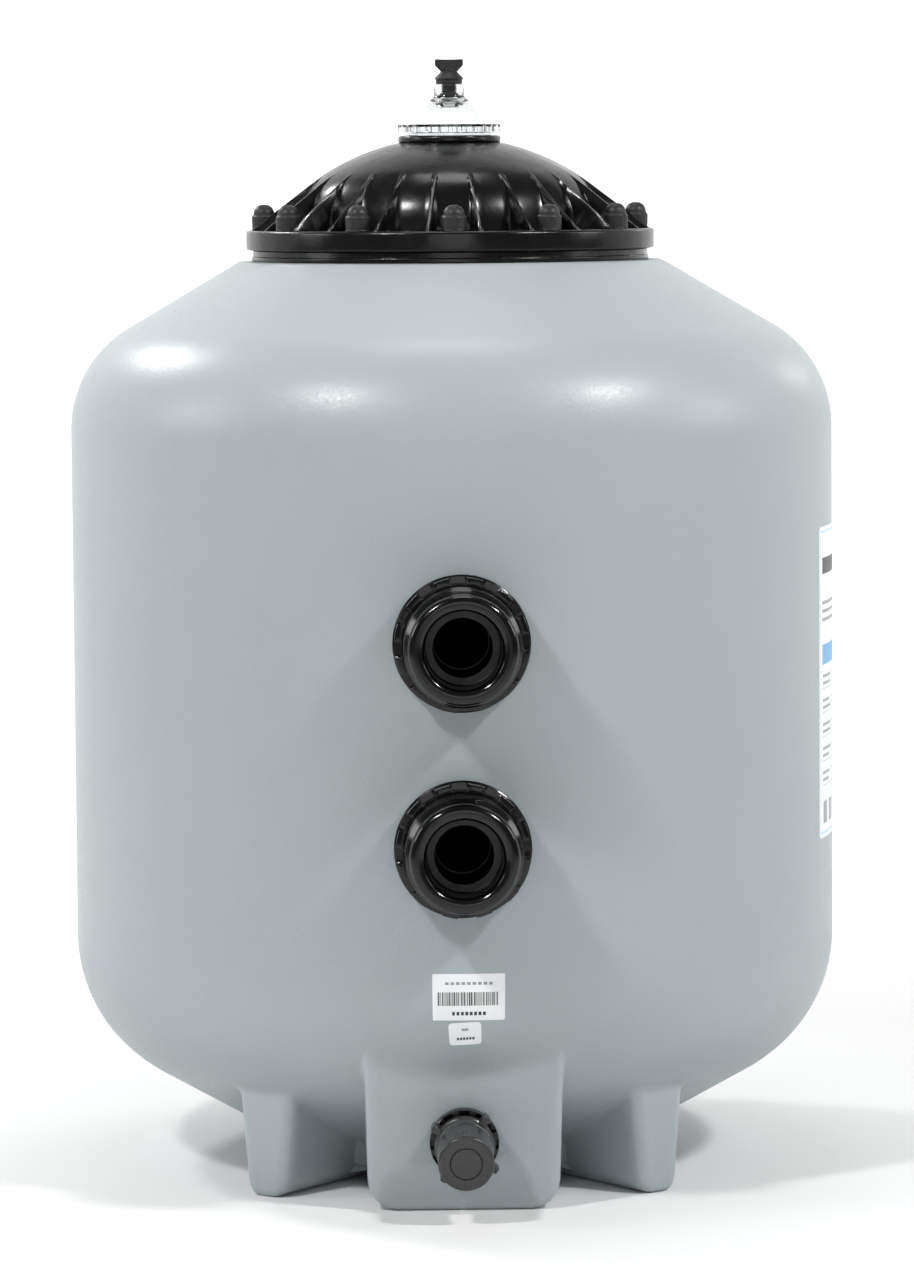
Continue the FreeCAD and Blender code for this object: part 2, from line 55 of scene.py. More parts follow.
LEDGE_ROUND, BASE_ROUND, TANK_MOUTH_R = 0.006, 0.060, 0.150

FOOT_TOP_Z, LEG_TOP_Z = 0.168, 0.128
BOSS_WIDTH, BOSS_REACH, BOSS_INNER, BOSS_LEAN = 0.186, 0.345, 0.170, 5.0
BOSS_CORNER_R, BOSS_EDGE_R, BOSS_BLEND = 0.032, 0.012, 0.005
LEG_WIDTH, LEG_REACH, LEG_INNER = 0.060, 0.322, 0.120
LEG_CORNER_R, LEG_EDGE_R, LEG_BLEND = 0.020, 0.016, 0.008
LEG_AZIMUTHS = (36.5, -36.5, 143.5, -143.5)
BOSS_DRAFT, LEG_DRAFT = 1.5, 5.5             # degrees; the sides lean inwards going down
DRAFT_Z, SOLE_EDGE_R = 0.060, 0.005

LID_LOW, LID_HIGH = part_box("lid_cover")
LID_R = LID_HIGH.x
LID_FLANGE_TOP = LID_LOW.z + 0.0197
LID_SPHERE_R, LID_SPHERE_Z, LID_WALL = 0.235, 0.7867, 0.008
LID_WALL_R, LID_PORT_R = 0.1485, 0.030
BEND_START_R, LID_BEND_R = 0.122, 0.063     # the dome bends down to the flange from this radius
BOLTS, BOLT_CIRCLE_R = 12, 0.186
RIBS, RIB_THICK, RIB_OUTER_R = 24, 0.0035, 0.200

PORTS = {"upper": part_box("upper_bulkhead"), "lower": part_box("lower_bulkhead")}
PORT_THREAD_R, PORT_NOSE_R, PORT_NOSE = 0.0553, 0.0508, 0.088
PORT_BACK = -0.019
PORT_MOUTH_R, PORT_BORE_R, PORT_MOUTH_DEPTH, PIPE_R = 0.0355, 0.0275, 0.040, 0.03015
LOCK_RING_R, LOCK_RING_LOW, LOCK_RING_HIGH = 0.0636, 0.003, 0.027

LEAN = math.radians(BOSS_LEAN)
DRAIN_POINT = Vector((0, -BOSS_REACH, 0.0687))
DRAIN_AXIS = Vector((0, -math.cos(LEAN), -math.sin(LEAN)))
OUTWARD = Vector((0, -1, 0))

# Labels on the front: width, lowest and highest point
SERIAL_LABEL = (0.0688, 0.189, 0.234)
BATCH_LABEL = (0.0315, 0.1645, 0.1868)

# Camera: where the viewer stands, measured from the tank's axis
CAMERA_DISTANCE, CAMERA_HEIGHT, CAMERA_AZIMUTH = 5.5, 0.997, -1.2
CAMERA_PITCH, CAMERA_YAW, CAMERA_ROLL, CAMERA_LENS = -4.99, -0.042, -0.41, 154.1


# ---------------------------------------------------------------------------------------------
# Mesh tools
# ---------------------------------------------------------------------------------------------
def outline(corners, arc_step=math.radians(12)):
    """Points of a closed outline through (u, v[, radius]) corners, rounded by tangent arcs."""
    points = []
    for i, corner in enumerate(corners):
        here = np.array(corner[:2], float)
        radius = corner[2] if len(corner) == 3 else 0.0
        if radius <= 0:
            points.append(here)
            continue
        back = np.array(corners[i - 1][:2]) - here
        ahead = np.array(corners[(i + 1) % len(corners)][:2]) - here
        back, ahead = back / np.linalg.norm(back), ahead / np.linalg.norm(ahead)
        half = math.acos(np.clip(back @ ahead, -1, 1)) / 2
        middle = back + ahead
        if np.linalg.norm(middle) < 1e-6:
            points.append(here)
            continue
        centre = here + middle / np.linalg.norm(middle) * radius / math.sin(half)
        first, last = here + back * radius / math.tan(half), here + ahead * radius / math.tan(half)
        a0 = math.atan2(*(first - centre)[::-1])
        turn = (math.atan2(*(last - centre)[::-1]) - a0 + math.pi) % (2 * math.pi) - math.pi
        steps = max(2, math.ceil(abs(turn) / arc_step))
        for k in range(steps + 1):
            a = a0 + turn * k / steps
            points.append(centre + radius * np.array([math.cos(a), math.sin(a)]))
    return np.array(points)


def mesh_object(name, vertices, faces):
    mesh = bpy.data.meshes.new(name)
    mesh.from_pydata([tuple(v) for v in vertices], [], faces)
    mesh.validate()
    obj = bpy.data.objects.new(name, mesh)
    bpy.context.scene.collection.objects.link(obj)
    return obj


def smooth(obj, degrees=32):
    obj.data.shade_smooth()
    obj.data.set_sharp_from_angle(angle=math.radians(degrees))
    return obj


def lathe(name, points, columns=96, shape=None):
    """Turns an (r, z) outline about Z. shape(points, angle) may change the outline by angle.
    columns is a count or a list of angles. Points on the axis become one vertex each."""
    if isinstance(columns, int):
        columns = np.arange(columns) * 2 * math.pi / columns
    angles = np.array(columns)
    vertices, index = [], np.zeros((len(angles), len(points)), int)
    on_axis = points[:, 0] < 1e-9
    for j, point in enumerate(points):
        if on_axis[j]:
            index[:, j] = len(vertices)
            vertices.append((0, 0, point[1]))
    for i, angle in enumerate(angles):
        section = points if shape is None else shape(points, angle)
        for j, (r, z) in enumerate(section):
            if not on_axis[j]:
                index[i, j] = len(vertices)
                vertices.append((r * math.cos(angle), r * math.sin(angle), z))
    faces = []
    for i in range(len(angles)):
        n = (i + 1) % len(angles)
        for j in range(len(points)):
            k = (j + 1) % len(points)
            corner = [index[i, j], index[n, j], index[n, k], index[i, k]]
            face = [c for m, c in enumerate(corner) if c != corner[m - 1]]
            if len(face) >= 3:
                faces.append(face)
    return smooth(mesh_object(name, vertices, faces))


def prism(name, points, depth):
    """An outline in the XZ plane, extruded depth along Y about y = 0."""
    count = len(points)
    vertices = [(x, -depth / 2, z) for x, z in points] + [(x, depth / 2, z) for x, z in points]
    faces = [list(range(count)), list(range(2 * count - 1, count - 1, -1))]
    faces += [[i, i + count, (i + 1) % count + count, (i + 1) % count] for i in range(count)]
    return mesh_object(name, vertices, faces)


def aimed(obj, point, direction):
    """Moves a mesh drawn along +Z so that its Z axis runs from point along direction."""
    turn = Vector((0, 0, 1)).rotation_difference(Vector(direction)).to_matrix().to_4x4()
    obj.data.transform(Matrix.Translation(Vector(point)) @ turn)
    return obj


def turned(obj, degrees):
    obj.data.transform(Matrix.Rotation(math.radians(degrees), 4, "Z"))
    return obj


def joined(name, objects):
    """One object made of several closed meshes, without welding them."""
    vertices, faces = [], []
    for obj in objects:
        start = len(vertices)
        vertices += [v.co.copy() for v in obj.data.vertices]
        faces += [[start + i for i in p.vertices] for p in obj.data.polygons]
    for obj in objects:
        bpy.data.objects.remove(obj)
    return mesh_object(name, vertices, faces)


def applied(obj):
    """Replaces an object's mesh by the result of its modifiers."""
    graph = bpy.context.evaluated_depsgraph_get()
    mesh = bpy.data.meshes.new_from_object(obj.evaluated_get(graph))
    obj.modifiers.clear()
    obj.data = mesh
    return obj


def carved(obj, tool, operation="DIFFERENCE"):
    modifier = obj.modifiers.new("carve", "BOOLEAN")
    modifier.operation, modifier.solver, modifier.object = operation, "MANIFOLD", tool
    applied(obj)
    bpy.data.objects.remove(tool)
    return obj


def bevelled(obj, width, segments=3, degrees=35):
    modifier = obj.modifiers.new("bevel", "BEVEL")
    modifier.width, modifier.segments, modifier.limit_method = width, segments, "ANGLE"
    modifier.angle_limit = math.radians(degrees)
    return smooth(applied(obj))


def facing_out(obj):
    """Turns every face of a closed mesh outwards."""
    work = bmesh.new()
    work.from_mesh(obj.data)
    bmesh.ops.recalc_face_normals(work, faces=work.faces)
    work.to_mesh(obj.data)
    work.free()
    return obj


# ---------------------------------------------------------------------------------------------
# Materials
# ---------------------------------------------------------------------------------------------
def srgb(red, green, blue):
    """Linear colour from the usual 0-255 values."""
    parts = [c / 255 for c in (red, green, blue)]
    return tuple(c / 12.92 if c <= 0.04045 else ((c + 0.055) / 1.055) ** 2.4 for c in parts) + (1.0,)


class Finish:
    """A node material built up one layer at a time."""

    def __init__(self, name, colour, roughness, **sockets):
        self.material = bpy.data.materials.new(name)
        self.material.use_nodes = True
        self.nodes = self.material.node_tree.nodes
        self.links = self.material.node_tree.links
        self.shader = self.nodes["Principled BSDF"]
        self.shader.inputs["Base Color"].default_value = colour
        self.shader.inputs["Roughness"].default_value = roughness
        for socket, value in sockets.items():
            self.shader.inputs[socket.replace("_", " ")].default_value = value
        self.colour, self.normal = colour, None
        self.place = self.nodes.new("ShaderNodeTexCoord").outputs["Object"]

    def noise(self, scale, detail=3.0, rough=0.5, stretch=None):
        """Noise from the object's own place; stretch scales the axes first."""
        texture = self.nodes.new("ShaderNodeTexNoise")
        texture.inputs["Scale"].default_value = scale
        texture.inputs["Detail"].default_value = detail
        texture.inputs["Roughness"].default_value = rough
        source = self.place
        if stretch:
            mapping = self.nodes.new("ShaderNodeMapping")
            mapping.inputs["Scale"].default_value = stretch
            self.links.new(source, mapping.inputs["Vector"])
            source = mapping.outputs["Vector"]
        self.links.new(source, texture.inputs["Vector"])
        return texture.outputs["Fac"]

    def span(self, value, low, high, from_low=0.3, from_high=0.7):
        ramp = self.nodes.new("ShaderNodeMapRange")
        ramp.inputs["From Min"].default_value, ramp.inputs["From Max"].default_value = from_low, from_high
        ramp.inputs["To Min"].default_value, ramp.inputs["To Max"].default_value = low, high
        self.links.new(value, ramp.inputs["Value"])
        return ramp.outputs["Result"]

    def tint(self, value, other):
        """Mixes the colour so far towards another where value is high."""
        mix = self.nodes.new("ShaderNodeMix")
        mix.data_type = "RGBA"
        if isinstance(self.colour, tuple):
            mix.inputs["A"].default_value = self.colour
        else:
            self.links.new(self.colour, mix.inputs["A"])
        mix.inputs["B"].default_value = other
        self.links.new(value, mix.inputs["Factor"])
        self.colour = mix.outputs["Result"]
        self.links.new(self.colour, self.shader.inputs["Base Color"])
        return self

    def roughen(self, value):
        self.links.new(value, self.shader.inputs["Roughness"])
        return self

    def bump(self, value, height, strength=1.0):
        """Adds relief; height is in metres."""
        node = self.nodes.new("ShaderNodeBump")
        node.inputs["Distance"].default_value = height
        node.inputs["Strength"].default_value = strength
        self.links.new(value, node.inputs["Height"])
        if self.normal is not None:
            self.links.new(self.normal, node.inputs["Normal"])
        self.normal = node.outputs["Normal"]
        self.links.new(self.normal, self.shader.inputs["Normal"])
        return self


def polyethylene():
    """Rotomoulded grey-blue shell: satin, faintly mottled, with a fine orange peel."""
    f = Finish("tank_polyethylene", srgb(160, 169, 171), 0.42, IOR=1.5)
    f.tint(f.span(f.noise(5.0, 4.0), 0.0, 0.35), srgb(150, 160, 166))
    f.tint(f.span(f.noise(900.0, 2.0), 0.0, 0.22), srgb(184, 191, 195))
    f.roughen(f.span(f.noise(260.0, 3.0), 0.30, 0.42))
    f.bump(f.noise(330.0, 3.0, 0.55), 0.00018)
    f.bump(f.noise(12.0, 2.0), 0.0009)
    return f.material


def glossy_black(name, roughness, dust):
    """Moulded black plastic with soft waviness, faint scuffs and, where dust > 0, grey dust."""
    f = Finish(name, srgb(6, 6, 7), roughness, IOR=1.45)
    f.tint(f.span(f.noise(55.0, 5.0, 0.65), 0.0, dust, 0.5, 0.8), srgb(60, 60, 60))
    f.roughen(f.span(f.noise(38.0, 5.0, 0.6), roughness * 0.8, roughness * 1.35 + dust * 0.2))
    f.bump(f.noise(45.0, 2.0), 0.00035)
    f.bump(f.noise(1500.0, 2.0), 0.00002)
    return f.material


def matt_black(name, colour, roughness, other=srgb(38, 38, 39)):
    f = Finish(name, colour, roughness)
    f.tint(f.span(f.noise(160.0, 4.0), 0.0, 0.3, 0.45, 0.75), other)
    f.roughen(f.span(f.noise(120.0, 3.0), roughness * 0.85, roughness * 1.15))
    f.bump(f.noise(1400.0, 2.0), 0.00004)
    return f.material


def drain_plastic():
    f = Finish("drain_plastic", srgb(46, 46, 47), 0.30)
    f.tint(f.span(f.noise(90.0, 4.0), 0.0, 0.4), srgb(58, 58, 58))
    f.roughen(f.span(f.noise(140.0, 3.0), 0.24, 0.36))
    f.bump(f.noise(1100.0, 2.0), 0.00004)
    return f.material


def clear_plastic():
    """Polycarbonate: clear, with a trace of haze where it was handled."""
    f = Finish("clear_polycarbonate", (0.97, 0.985, 0.99, 1.0), 0.03, IOR=1.45)
    f.shader.inputs["Transmission Weight"].default_value = 1.0
    f.roughen(f.span(f.noise(70.0, 4.0), 0.02, 0.09))
    f.bump(f.noise(60.0, 2.0), 0.0001)
    return f.material


def rubber():
    f = Finish("rubber", srgb(24, 24, 24), 0.75)
    f.tint(f.span(f.noise(300.0, 3.0), 0.0, 0.3), srgb(44, 44, 44))
    f.bump(f.noise(900.0, 2.0), 0.00005)
    return f.material


def steel():
    f = Finish("stainless_steel", srgb(186, 187, 188), 0.3, Metallic=1.0)
    f.roughen(f.span(f.noise(400.0, 2.0, 0.5, (1, 1, 12)), 0.22, 0.42))
    f.bump(f.noise(700.0, 2.0, 0.5, (1, 1, 15)), 0.00003)
    return f.material


def inner_plastic():
    f = Finish("inner_plastic", srgb(214, 214, 209), 0.5)
    f.tint(f.span(f.noise(60.0, 4.0), 0.0, 0.3), srgb(196, 195, 188))
    f.bump(f.noise(800.0, 2.0), 0.00004)
    return f.material


def printed(name, colour, roughness=0.4):
    """Paper or ink of a label, under a satin film."""
    f = Finish(name, colour, roughness)
    soft = tuple(c * 0.93 for c in colour[:3]) + (1.0,)
    f.tint(f.span(f.noise(500.0, 3.0), 0.0, 0.35), soft)
    f.bump(f.noise(300.0, 2.0), 0.00003)
    return f.material


MATERIALS = {
    "tank": polyethylene(),
    "lid": glossy_black("lid_abs", 0.22, 0.03),
    "port": glossy_black("port_abs", 0.12, 0.08),
    # bore: a darker, rougher copy of the port's black, painted shade inside the deep port bores
    "bore": matt_black("port_bore_painted_shade", srgb(2, 2, 2), 0.45, srgb(6, 6, 6)),
    # inner_dark: near-black pipes behind the port bores, painted shade; the rest of the plumbing keeps the
    # pale plastic
    "inner_dark": matt_black("inner_pipe_painted_shade", srgb(3, 3, 3), 0.5, srgb(6, 6, 6)),
    "cap": matt_black("cap_plastic", srgb(20, 20, 21), 0.5),
    "drain": drain_plastic(),
    "drain_ring": glossy_black("drain_ring_abs", 0.2, 0.15),
    "clear": clear_plastic(),
    "rubber": rubber(),
    "steel": steel(),
    "inner": inner_plastic(),
    "paper": printed("label_paper", srgb(238, 240, 241)),
    "ink": printed("label_ink", srgb(45, 46, 48)),
    "grey_ink": printed("label_grey_ink", srgb(150, 152, 156)),
    "blue_ink": printed("label_blue_ink", srgb(98, 168, 222)),
    "pale_ink": printed("label_pale_ink", srgb(192, 218, 238)),
}


def finished(obj, material, slot, body, *nodes):
    """Gives a new piece its material and body and hides the CAD nodes it stands for; slot is not used."""
    if not isinstance(material, (list, tuple)):
        material = [material]
    if obj.data.materials:
        obj.data.materials.clear()
    for name in material:
        obj.data.materials.append(MATERIALS[name])
    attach(obj, body)
    if nodes:
        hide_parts(*nodes)
    return obj


# ---------------------------------------------------------------------------------------------
# Tank body: the level set of a turned vessel softly joined to its feet
# ---------------------------------------------------------------------------------------------
def vessel_lines(inset=0.0):
    """The vessel's outline as (outward normal, offset, tangent) lines and its rounding radii."""
    low, top = math.radians(LOW_SLOPE), math.radians(TOP_SLOPE)
    normals = [(0, -1), (math.sin(low), -math.cos(low)), (1, 0), (math.sin(top), math.cos(top)), (0, 1)]
    through = [(0, BASE_Z), (BODY_R, LOW_CORNER_Z), (BODY_R, 0), (BODY_R, TOP_CORNER_Z), (0, LEDGE_Z)]
    lines = []
    for normal, point in zip(normals, through):
        n = np.array(normal)
        lines.append((n, n @ np.array(point) - inset, np.array([-n[1], n[0]])))
    return lines, [BASE_ROUND, LOW_KNUCKLE_R, TOP_KNUCKLE_R, LEDGE_ROUND]


def vessel_distance(p):
    """How far points are outside the turned vessel."""
    q = np.stack([np.hypot(p[:, 0], p[:, 1]), p[:, 2]], axis=1)
    lines, radii = vessel_lines()
    away = np.stack([q @ n - offset for n, offset, _ in lines])
    result = away.max(axis=0)
    for (n0, o0, t0), (n1, o1, t1), radius in zip(lines[:-1], lines[1:], radii):
        centre = np.linalg.solve(np.array([n0, n1]), np.array([o0 - radius, o1 - radius]))
        w = q - centre
        wedge = (w @ t0 > 0) & (w @ t1 < 0)
        result = np.where(wedge, np.linalg.norm(w, axis=1) - radius, result)
    return result


def rounded_max(a, b, radius):
    """Overlap of two shapes, with its right-angled edge rounded."""
    outside = np.hypot(np.maximum(a + radius, 0), np.maximum(b + radius, 0))
    return np.minimum(np.maximum(a, b), -radius) + outside


def smooth_min(a, b, width):
    """Union of two shapes with a soft fillet along their crease."""
    h = np.maximum(width - np.abs(a - b), 0) / width
    return np.minimum(a, b) - h * h * width / 4


def foot_distance(p, azimuth, width, reach, inner, top, corner, edge, lean, draft):
    """A boss or leg: a rounded upright block whose face leans out and whose sides lean in going down."""
    a = math.radians(azimuth)
    across = np.abs(p[:, 0] * math.cos(a) + p[:, 1] * math.sin(a))
    out = p[:, 0] * math.sin(a) - p[:, 1] * math.cos(a)
    z = p[:, 2]
    slope, draft = math.radians(lean), math.radians(draft)
    face = (out - reach) * math.cos(slope) - (z - DRAIN_POINT.z) * math.sin(slope)
    slack = SOLE_EDGE_R * (1 - math.sqrt(0.5))
    side = (across - width / 2) * math.cos(draft) - (z - DRAFT_Z) * math.sin(draft) - slack
    sole = rounded_max(side, -z, corner)
    front = rounded_max(side, face, edge)
    result = rounded_max(sole, front, SOLE_EDGE_R)
    result = rounded_max(result, inner - out, 0.008)
    return np.maximum(result, z - top)


def tank_distance(p):
    result = vessel_distance(p)
    boss = foot_distance(p, 0.0, BOSS_WIDTH, BOSS_REACH, BOSS_INNER, FOOT_TOP_Z,
                         BOSS_CORNER_R, BOSS_EDGE_R, BOSS_LEAN, BOSS_DRAFT)
    result = smooth_min(result, boss, BOSS_BLEND)
    for azimuth in LEG_AZIMUTHS:
        leg = foot_distance(p, azimuth, LEG_WIDTH, LEG_REACH, LEG_INNER, LEG_TOP_Z,
                            LEG_CORNER_R, LEG_EDGE_R, 0.0, LEG_DRAFT)
        result = smooth_min(result, leg, LEG_BLEND)
    return result


def settled(obj, distance, rounds=5, reach=0.0004):
    """Moves a mesh's points onto the surface where distance is zero."""
    count = len(obj.data.vertices)
    points = np.zeros(count * 3)
    obj.data.vertices.foreach_get("co", points)
    points = points.reshape(-1, 3)
    for _ in range(rounds):
        value = distance(points)
        slope = np.stack([distance(points + step) - distance(points - step)
                          for step in np.eye(3) * reach], axis=1) / (2 * reach)
        size = np.maximum((slope ** 2).sum(axis=1), 0.05)
        points -= slope * np.clip(value / size, -0.01, 0.01)[:, None]
    obj.data.vertices.foreach_set("co", points.ravel())
    obj.data.update()
    return obj


def vessel_corners(inset):
    """The vessel's outline as corners for outline(), moved inwards."""
    low, top = math.radians(LOW_SLOPE), math.radians(TOP_SLOPE)
    radius = BODY_R - inset
    low_z = LOW_CORNER_Z + inset * (1 / math.cos(low) - math.tan(low))
    top_z = TOP_CORNER_Z - inset * (1 / math.cos(top) - math.tan(top))
    floor_z, ceiling_z = BASE_Z + inset, LEDGE_Z - (LEDGE_THICK if inset else 0)
    return [(0, floor_z), (radius - (low_z - floor_z) / math.tan(low), floor_z, 0.05),
            (radius, low_z, LOW_KNUCKLE_R - inset), (radius, top_z, TOP_KNUCKLE_R - inset),
            (radius - (ceiling_z - top_z) / math.tan(top), ceiling_z, 0.004), (0, ceiling_z)]


def block(low, high):
    (x0, y0, z0), (x1, y1, z1) = low, high
    points = [(x0, z0), (x1, z0), (x1, z1), (x0, z1)]
    obj = prism("block", points, y1 - y0)
    obj.data.transform(Matrix.Translation((0, (y0 + y1) / 2, 0)))
    return obj


def make_tank():
    """Remeshes rough blocks, settles them on the exact surface, then hollows and bores the shell."""
    voxel = 0.007
    rough = lathe("rough", outline(vessel_corners(0.0)), 96)
    boss = block((-BOSS_WIDTH / 2, -BOSS_REACH, 0.001), (BOSS_WIDTH / 2, -BOSS_INNER, FOOT_TOP_Z - 0.02))
    parts = [facing_out(rough), facing_out(boss)]
    for azimuth in LEG_AZIMUTHS:
        leg = block((-LEG_WIDTH / 2, -LEG_REACH, 0.001), (LEG_WIDTH / 2, -LEG_INNER, LEG_TOP_Z - 0.02))
        parts.append(turned(facing_out(leg), azimuth))
    tank = joined("tank_body", parts)
    remesh = tank.modifiers.new("remesh", "REMESH")
    remesh.mode, remesh.voxel_size, remesh.use_smooth_shade = "VOXEL", voxel, True
    settled(applied(tank), tank_distance, 8)
    finer = tank.modifiers.new("finer", "SUBSURF")
    finer.subdivision_type, finer.levels, finer.render_levels = "SIMPLE", 1, 1
    settled(applied(tank), tank_distance, 3)
    hollow = facing_out(lathe("hollow", outline(vessel_corners(WALL), math.radians(4)), 192))
    carved(tank, hollow)
    mouth = outline([(0, LEDGE_Z - 0.03), (TANK_MOUTH_R, LEDGE_Z - 0.03),
                     (TANK_MOUTH_R, LEDGE_Z + 0.01), (0, LEDGE_Z + 0.01)])
    carved(tank, facing_out(lathe("mouth", mouth, 192)))
    plug = outline([(0, -0.04), (PORT_THREAD_R, -0.04), (PORT_THREAD_R, 0.03), (0, 0.03)])
    for low, high in PORTS.values():
        carved(tank, aimed(facing_out(lathe("plug", plug, 96)), (0, -BODY_R, (low.z + high.z) / 2), OUTWARD))
    spigot = outline([(0, -0.03), (0.019, -0.03), (0.019, 0.02), (0, 0.02)])
    carved(tank, aimed(facing_out(lathe("plug", spigot, 64)), DRAIN_POINT, DRAIN_AXIS))
    smooth(tank, 40)
    return finished(tank, "tank", "tank_polyethylene", "root", "tank_shell")


# ---------------------------------------------------------------------------------------------
# Lid
# ---------------------------------------------------------------------------------------------
def sphere_z(radius, r):
    return LID_SPHERE_Z + math.sqrt(max(radius ** 2 - r ** 2, 0))


def make_lid():
    """Domed cover with gusset ribs: its section changes with the angle, from plain to rib."""
    low, top, crown = LID_LOW.z, LID_FLANGE_TOP, LID_HIGH.z
    crown_r = math.sqrt(LID_SPHERE_R ** 2 - (crown - LID_SPHERE_Z) ** 2)
    bend = math.asin(BEND_START_R / LID_SPHERE_R)
    bend_r = (LID_SPHERE_R - LID_BEND_R) * math.sin(bend)
    bend_z = LID_SPHERE_Z + (LID_SPHERE_R - LID_BEND_R) * math.cos(bend)

    def arc(radius, first, last, count):
        return [(bend_r + radius * math.sin(a), bend_z + radius * math.cos(a))
                for a in np.linspace(first, last, count)]

    dome = [(r, sphere_z(LID_SPHERE_R, r)) for r in np.linspace(crown_r, BEND_START_R, 18)]
    skirt = arc(LID_BEND_R, bend, math.radians(84), 16)[1:]
    skirt += [(0.1528, top + 0.0008), (0.1542, top), (0.157, top)]
    skirt += [(r, top) for r in np.linspace(0.162, RIB_OUTER_R, 8)]
    edge = outline([(RIB_OUTER_R, top), (LID_R, top, 0.003), (LID_R, low, 0.0022), (0.150, low)])[1:]
    inner_bend, inner_r = LID_BEND_R - LID_WALL, LID_WALL_R - LID_WALL
    inner_sphere = LID_SPHERE_R - LID_WALL
    inside = [(inner_r, low + 0.004)]
    inside += arc(inner_bend, math.asin((inner_r - bend_r) / inner_bend), bend, 10)
    inside += [(r, sphere_z(inner_sphere, r))
               for r in np.linspace(inner_sphere * math.sin(bend) - 0.008, LID_PORT_R + 0.02, 8)]
    inside += [(LID_PORT_R, crown - 0.012), (LID_PORT_R, crown)]
    section = np.array(dome + skirt + list(edge) + inside)
    first, last = len(dome), len(dome) + len(skirt)
    run = np.linalg.norm(np.diff(section[first - 1:last], axis=0), axis=1)
    share = np.concatenate([[0], np.cumsum(run)]) / run.sum()
    crest = [(r, sphere_z(LID_SPHERE_R, r)) for r in np.linspace(BEND_START_R, LID_WALL_R - 0.003, 8)]
    crest = np.array(crest + [(RIB_OUTER_R, top)])
    crest_run = np.concatenate([[0], np.cumsum(np.linalg.norm(np.diff(crest, axis=0), axis=1))])
    crest_share = crest_run / crest_run[-1]
    ridge = section.copy()
    ridge[first - 1:last, 0] = np.interp(share, crest_share, crest[:, 0])
    ridge[first - 1:last, 1] = np.interp(share, crest_share, crest[:, 1])

    half, pitch = RIB_THICK / 2, 2 * math.pi / RIBS
    profile = [(-half - 0.0022, 0.0), (-half - 0.0008, 0.10), (-half, 0.9), (-half + 0.0008, 1.0),
               (half - 0.0008, 1.0), (half, 0.9), (half + 0.0008, 0.10), (half + 0.0022, 0.0)]
    gaps = np.linspace(0, 1, 7)[1:-1]
    vertices, columns = [], 0
    for rib in range(RIBS):
        middle = (rib + 0.5) * pitch - math.pi / 2
        for offset, rise in profile:
            points = section + (ridge - section) * rise
            for r, z in points:
                a = middle + offset / max(r, 0.1)
                vertices.append((r * math.cos(a), r * math.sin(a), z))
            columns += 1
        for gap in gaps:
            for r, z in section:
                edge_angle = (half + 0.0022) / max(r, 0.1)
                a = middle + edge_angle + (pitch - 2 * edge_angle) * gap
                vertices.append((r * math.cos(a), r * math.sin(a), z))
            columns += 1
    rows = len(section)
    faces = [[i * rows + j, (i + 1) % columns * rows + j,
              (i + 1) % columns * rows + (j + 1) % rows, i * rows + (j + 1) % rows]
             for i in range(columns) for j in range(rows)]
    lid = facing_out(mesh_object("lid_dome", vertices, faces))
    hole = outline([(0, low - 0.01), (0.0056, low - 0.01), (0.0056, top + 0.005), (0, top + 0.005)])
    holes = [aimed(lathe("hole", hole, 24), (0, -BOLT_CIRCLE_R, 0), (0, 0, 1)) for _ in range(BOLTS)]
    holes = [turned(bolt_hole, 360 / BOLTS * k) for k, bolt_hole in enumerate(holes)]
    carved(lid, facing_out(joined("holes", holes)))
    smooth(lid, 38)
    return finished(lid, "lid", "lid_black", "lid", "lid_cover")


def make_neck_ring():
    """Stepped clamping ring between the ledge and the lid."""
    low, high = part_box("neck_ring")
    step_z, step_r = low.z + 0.0045, high.x - 0.0012
    points = outline([(TANK_MOUTH_R, low.z, 0.001), (high.x, low.z, 0.0015), (high.x, step_z, 0.001),
                      (step_r, step_z + 0.0007, 0.0005), (step_r, high.z, 0.001),
                      (TANK_MOUTH_R, high.z, 0.001)])
    ring = facing_out(lathe("neck_flange", points, 192))
    return finished(ring, "lid", "lid_black", "root", "neck_ring")


def make_nut_caps():
    """Domed caps with a stepped skirt, one for each nut."""
    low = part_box("lid_nut_caps")[0].z
    points = outline([(0.0098, low), (0.0126, low, 0.0004), (0.0119, low + 0.0012, 0.0004),
                      (0.0122, low + 0.0130, 0.0008), (0.0112, low + 0.0147, 0.0006),
                      (0.0104, low + 0.0150, 0.0004), (0.0102, low + 0.0252, 0.0092),
                      (0, low + 0.0252), (0, low + 0.0215), (0.0066, low + 0.0215, 0.002),
                      (0.0066, low + 0.0125), (0.0098, low + 0.0105)], math.radians(10))
    caps = []
    for k in range(BOLTS):
        cap = aimed(lathe("cap", points, 40), (0, -BOLT_CIRCLE_R, 0), (0, 0, 1))
        caps.append(turned(cap, 30.0 * k))
    caps = facing_out(joined("nut_caps", caps))
    return finished(smooth(caps), "cap", "cap_black", "caps", "lid_nut_caps")


# ---------------------------------------------------------------------------------------------
# Sight dome and air bleed
# ---------------------------------------------------------------------------------------------
def make_sight_seat():
    """Collar round the lid's port, with the gasket's groove."""
    low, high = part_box("sight_dome_seat_ring")
    groove_z = high.z - 0.0025
    points = outline([(0.033, low.z), (high.x, low.z, 0.0022), (high.x, high.z, 0.0026), (0.0391, high.z),
                      (0.0391, groove_z), (0.0359, groove_z), (0.0359, high.z), (0.033, high.z)])
    seat = facing_out(lathe("sight_seat", points, 128))
    return finished(seat, "lid", "lid_black", "lid", "sight_dome_seat_ring")


